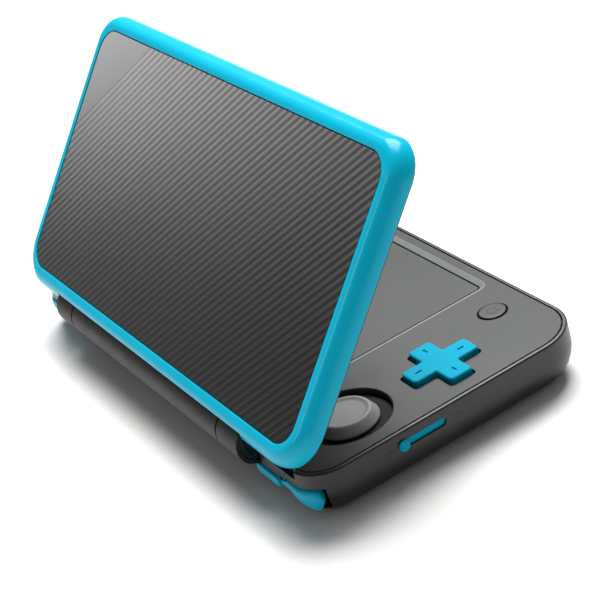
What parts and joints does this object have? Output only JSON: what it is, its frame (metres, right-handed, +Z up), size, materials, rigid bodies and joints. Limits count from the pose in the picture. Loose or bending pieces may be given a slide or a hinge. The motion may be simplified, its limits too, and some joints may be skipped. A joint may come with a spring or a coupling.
{
  "type": "handheld lcd game",
  "caption": "Clamshell handheld game with a ribbed hinged lid, two screens, cross pad, sliding thumb pad, face and shoulder buttons, and a stylus.",
  "frame": {"origin": "middle of the base's flat underside, on the plane the game rests on, half way across its width and on the line 41.5 mm behind its front edge", "axes": "+X to the player's right along the width, +Y away from the player towards the hinge, +Z up"},
  "size_m": [0.1608, 0.0865, 0.0788],
  "materials": {
    "face_grey": "satin moulded plastic with a faint metallic grain",
    "shell_black": "fine matte moulded plastic",
    "hinge_black": "smooth dark plastic",
    "panel_black": "satin ribbed plastic",
    "accent_blue": "smooth moulded plastic, self-coloured",
    "pad_grey": "soft-touch matte",
    "button_dark": "satin",
    "screen_film": "satin touch film",
    "screen_glass": "polished dark window",
    "smoked_window": "polished smoked plastic",
    "light_pipe": "frosted",
    "soft_rubber": "matte rubber",
    "inner_steel": "pressed sheet",
    "inner_black": "plain moulding",
    "board_green": "solder-masked board",
    "cell_wrap": "printed wrap, no lettering"
  },
  "bodies": {
    "base": {"base_face_plate": "face_grey", "base_upper_shell": "shell_black", "base_lower_shell": "shell_black", "battery_pack": "cell_wrap", "main_board": "board_green", "touch_panel": "screen_film", "bottom_lcd_module": "inner_steel", "circle_pad_housing": "inner_black", "c_stick_nub": "pad_grey", "button_contact_rubber": "soft_rubber", "card_slot_module": "inner_steel", "microsd_socket": "inner_steel", "headphone_jack": "inner_black", "charge_socket": "inner_black", "infrared_window": "smoked_window", "status_light_window": "light_pipe", "speaker_left": "inner_black", "speaker_right": "inner_black", "outer_camera_left": "smoked_window", "outer_camera_right": "smoked_window", "cover_screw_left": "inner_steel", "cover_screw_right": "inner_steel", "hinge_knuckle_left": "hinge_black", "hinge_knuckle_right": "hinge_black", "hinge_pin_left": "inner_steel", "hinge_pin_right": "inner_steel"},
    "lid": {"lid_outer_shell": "accent_blue", "lid_ribbed_panel": "panel_black", "lid_inner_frame": "shell_black", "top_screen_window": "screen_glass", "top_lcd_module": "inner_steel", "lid_hinge_barrel": "shell_black", "inner_camera_lens": "smoked_window", "microphone_insert": "inner_black", "lid_bumper_free_left": "soft_rubber", "lid_bumper_free_right": "soft_rubber", "lid_bumper_heel_left": "soft_rubber", "lid_bumper_heel_right": "soft_rubber"},
    "dpad_rocker": {"dpad_contact_rubber": "soft_rubber"},
    "dpad": {"dpad": "accent_blue"},
    "circle_stage": {"circle_pad_stage": "inner_black"},
    "circle_pad": {"circle_pad_cap": "pad_grey"},
    "button_a": {"button_a": "accent_blue"},
    "button_b": {"button_b": "accent_blue"},
    "button_x": {"button_x": "accent_blue"},
    "button_y": {"button_y": "accent_blue"},
    "button_start": {"button_start": "button_dark"},
    "button_select": {"button_select": "button_dark"},
    "button_home": {"button_home": "button_dark"},
    "button_power": {"button_power": "button_dark"},
    "shoulder_l": {"shoulder_l": "accent_blue"},
    "shoulder_r": {"shoulder_r": "accent_blue"},
    "trigger_zl": {"trigger_zl": "accent_blue"},
    "trigger_zr": {"trigger_zr": "accent_blue"},
    "volume_slider": {"volume_slider": "accent_blue"},
    "card_slot_cover": {"card_slot_cover": "shell_black"},
    "stylus": {"stylus": "shell_black"}
  },
  "joints": [
    {"name": "lid_hinge", "type": "hinge", "parent": "base", "child": "lid", "pos_m": [0, 0.0393, 0.0142], "axis": [-1, 0, 0], "range_deg": [-50.7, 99.3]},
    {"name": "dpad_tilt_ns", "type": "hinge", "parent": "base", "child": "dpad_rocker", "pos_m": [-0.0643, -0.008, 0.013], "axis": [1, 0, 0], "range_deg": [-2.2, 2.2], "stiffness_Nm_per_rad": 0.15},
    {"name": "dpad_tilt_ew", "type": "hinge", "parent": "dpad_rocker", "child": "dpad", "pos_m": [-0.0643, -0.008, 0.013], "axis": [0, 1, 0], "range_deg": [-2.2, 2.2], "stiffness_Nm_per_rad": 0.15},
    {"name": "circle_pad_x", "type": "slide", "parent": "base", "child": "circle_stage", "axis": [1, 0, 0], "range_m": [-0.0022, 0.0022], "stiffness_N_per_m": 300},
    {"name": "circle_pad_y", "type": "slide", "parent": "circle_stage", "child": "circle_pad", "axis": [0, 1, 0], "range_m": [-0.0022, 0.0022], "stiffness_N_per_m": 300},
    {"name": "button_a_press", "type": "slide", "parent": "base", "child": "button_a", "axis": [0, 0, -1], "range_m": [0, 0.001], "stiffness_N_per_m": 600},
    {"name": "button_b_press", "type": "slide", "parent": "base", "child": "button_b", "axis": [0, 0, -1], "range_m": [0, 0.001], "stiffness_N_per_m": 600},
    {"name": "button_x_press", "type": "slide", "parent": "base", "child": "button_x", "axis": [0, 0, -1], "range_m": [0, 0.001], "stiffness_N_per_m": 600},
    {"name": "button_y_press", "type": "slide", "parent": "base", "child": "button_y", "axis": [0, 0, -1], "range_m": [0, 0.001], "stiffness_N_per_m": 600},
    {"name": "button_start_press", "type": "slide", "parent": "base", "child": "button_start", "axis": [0, 0, -1], "range_m": [0, 0.0005], "stiffness_N_per_m": 600},
    {"name": "button_select_press", "type": "slide", "parent": "base", "child": "button_select", "axis": [0, 0, -1], "range_m": [0, 0.0005], "stiffness_N_per_m": 600},
    {"name": "button_home_press", "type": "slide", "parent": "base", "child": "button_home", "axis": [0, 0, -1], "range_m": [0, 0.0003], "stiffness_N_per_m": 600},
    {"name": "button_power_press", "type": "slide", "parent": "base", "child": "button_power", "axis": [0, 0, -1], "range_m": [0, 0.0003], "stiffness_N_per_m": 600},
    {"name": "shoulder_l_press", "type": "hinge", "parent": "base", "child": "shoulder_l", "pos_m": [-0.0642, 0.0386, 0.0064], "axis": [0, 0, 1], "range_deg": [0, 5], "stiffness_Nm_per_rad": 0.2},
    {"name": "shoulder_r_press", "type": "hinge", "parent": "base", "child": "shoulder_r", "pos_m": [0.0642, 0.0386, 0.0064], "axis": [0, 0, -1], "range_deg": [0, 5], "stiffness_Nm_per_rad": 0.2},
    {"name": "trigger_zl_press", "type": "slide", "parent": "base", "child": "trigger_zl", "axis": [0, -1, 0], "range_m": [0, 0.001], "stiffness_N_per_m": 800},
    {"name": "trigger_zr_press", "type": "slide", "parent": "base", "child": "trigger_zr", "axis": [0, -1, 0], "range_m": [0, 0.001], "stiffness_N_per_m": 800},
    {"name": "volume_slide", "type": "slide", "parent": "base", "child": "volume_slider", "axis": [0, -1, 0], "range_m": [0, 0.0112]},
    {"name": "card_cover_hinge", "type": "hinge", "parent": "base", "child": "card_slot_cover", "pos_m": [-0.026, -0.03894, 0.0024], "axis": [1, 0, 0], "range_deg": [0, 80]},
    {"name": "stylus_out", "type": "slide", "parent": "base", "child": "stylus", "axis": [0, -1, 0], "range_m": [0, 0.075]}
  ]
}
